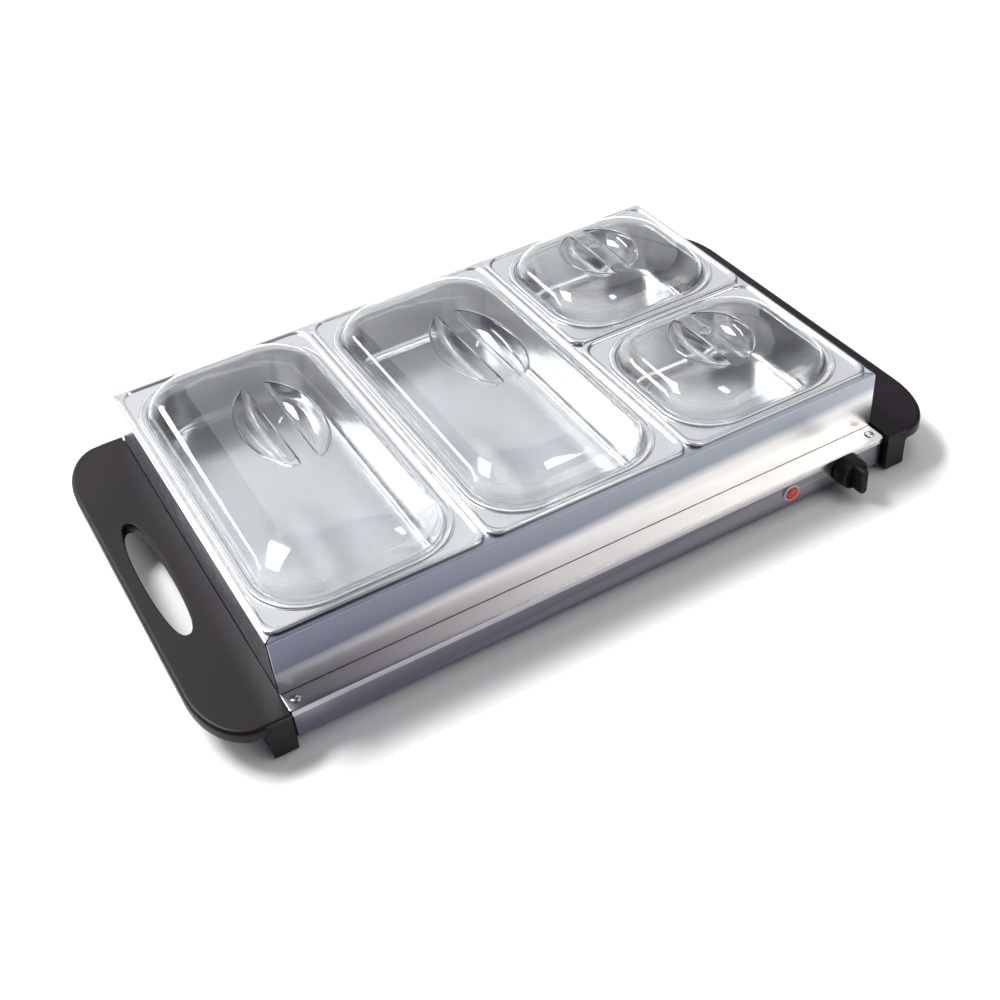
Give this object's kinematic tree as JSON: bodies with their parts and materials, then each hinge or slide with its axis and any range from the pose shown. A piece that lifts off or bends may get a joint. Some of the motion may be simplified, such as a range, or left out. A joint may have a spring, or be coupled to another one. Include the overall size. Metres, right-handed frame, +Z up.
{
  "type": "electric buffet server",
  "caption": "Electric buffet server: a warming base with end handles and a control knob carries a lift-off rack of covered food pans with clear domed lids.",
  "frame": {"origin": "centre of the bounding box at floor level, under the feet", "axes": "+X to the right along the base, the knob's end; +Y to the back; +Z up; the knob faces -Y"},
  "size_m": [0.66, 0.4014, 0.1153],
  "materials": {
    "brushed_steel": "brushed",
    "pan_steel": "satin",
    "inner_steel": "mill",
    "aluminium": "mill",
    "black_plastic": "satin",
    "knob_plastic": "satin",
    "clear_plastic": "clear gloss",
    "red_lens": "translucent gloss",
    "white_plastic": "satin",
    "rubber": "matt",
    "mineral_wool": "fibrous",
    "ceramic": "matt",
    "brass": "turned",
    "wire_sleeve": "woven sleeve"
  },
  "bodies": {
    "base": {"warming_plate": "brushed_steel", "base_housing": "brushed_steel", "bottom_cover": "inner_steel", "cover_screw_front_left": "inner_steel", "cover_screw_front_right": "inner_steel", "cover_screw_back_left": "inner_steel", "cover_screw_back_right": "inner_steel", "heat_spreader": "aluminium", "heating_element": "inner_steel", "element_terminal_front": "ceramic", "element_terminal_back": "ceramic", "element_clamp_left": "inner_steel", "element_clamp_right": "inner_steel", "heat_reflector": "aluminium", "insulation_blanket": "mineral_wool", "support_pillar_front_left": "inner_steel", "support_pillar_front_right": "inner_steel", "support_pillar_back_left": "inner_steel", "support_pillar_back_right": "inner_steel", "thermostat_body": "ceramic", "thermostat_nut": "inner_steel", "indicator_bezel": "white_plastic", "indicator_lens": "red_lens", "indicator_lamp_body": "white_plastic", "indicator_clip": "inner_steel", "cord_gland": "rubber", "terminal_block": "ceramic", "thermal_fuse": "ceramic", "earth_stud": "brass", "lead_supply": "wire_sleeve", "lead_element_front": "wire_sleeve", "lead_element_back": "wire_sleeve", "left_handle": "black_plastic", "right_handle": "black_plastic", "handle_screw_front_left": "inner_steel", "handle_screw_front_right": "inner_steel", "handle_screw_back_left": "inner_steel", "handle_screw_back_right": "inner_steel", "foot_pad_front_left": "rubber", "foot_pad_front_right": "rubber", "foot_pad_back_left": "rubber", "foot_pad_back_right": "rubber"},
    "knob": {"control_knob": "knob_plastic", "thermostat_shaft": "brass"},
    "rack": {"rack_front_panel": "brushed_steel", "rack_back_panel": "brushed_steel", "rack_left_panel": "brushed_steel", "rack_right_panel": "brushed_steel", "rack_divider_left": "brushed_steel", "rack_divider_right": "brushed_steel", "rack_cross_divider": "brushed_steel"},
    "pan_large_left": {"pan_large_left": "pan_steel"},
    "lid_large_left": {"lid_large_left": "clear_plastic"},
    "pan_large_middle": {"pan_large_middle": "pan_steel"},
    "lid_large_middle": {"lid_large_middle": "clear_plastic"},
    "pan_small_back": {"pan_small_back": "pan_steel"},
    "lid_small_back": {"lid_small_back": "clear_plastic"},
    "pan_small_front": {"pan_small_front": "pan_steel"},
    "lid_small_front": {"lid_small_front": "clear_plastic"}
  },
  "joints": [
    {"name": "knob_turn", "type": "hinge", "parent": "base", "child": "knob", "pos_m": [0.23, -0.17675, 0.0205], "axis": [0, 1, 0], "range_deg": [0, 270]},
    {"name": "rack_lift", "type": "slide", "parent": "base", "child": "rack", "axis": [0, 0, 1], "range_m": [0, 0.1]},
    {"name": "pan_large_left_lift", "type": "slide", "parent": "rack", "child": "pan_large_left", "axis": [0, 0, 1], "range_m": [0, 0.08]},
    {"name": "pan_large_middle_lift", "type": "slide", "parent": "rack", "child": "pan_large_middle", "axis": [0, 0, 1], "range_m": [0, 0.08]},
    {"name": "pan_small_back_lift", "type": "slide", "parent": "rack", "child": "pan_small_back", "axis": [0, 0, 1], "range_m": [0, 0.08]},
    {"name": "pan_small_front_lift", "type": "slide", "parent": "rack", "child": "pan_small_front", "axis": [0, 0, 1], "range_m": [0, 0.08]},
    {"name": "lid_large_left_lift", "type": "slide", "parent": "pan_large_left", "child": "lid_large_left", "axis": [0, 0, 1], "range_m": [0, 0.06]},
    {"name": "lid_large_middle_lift", "type": "slide", "parent": "pan_large_middle", "child": "lid_large_middle", "axis": [0, 0, 1], "range_m": [0, 0.06]},
    {"name": "lid_small_back_lift", "type": "slide", "parent": "pan_small_back", "child": "lid_small_back", "axis": [0, 0, 1], "range_m": [0, 0.06]},
    {"name": "lid_small_front_lift", "type": "slide", "parent": "pan_small_front", "child": "lid_small_front", "axis": [0, 0, 1], "range_m": [0, 0.06]}
  ]
}
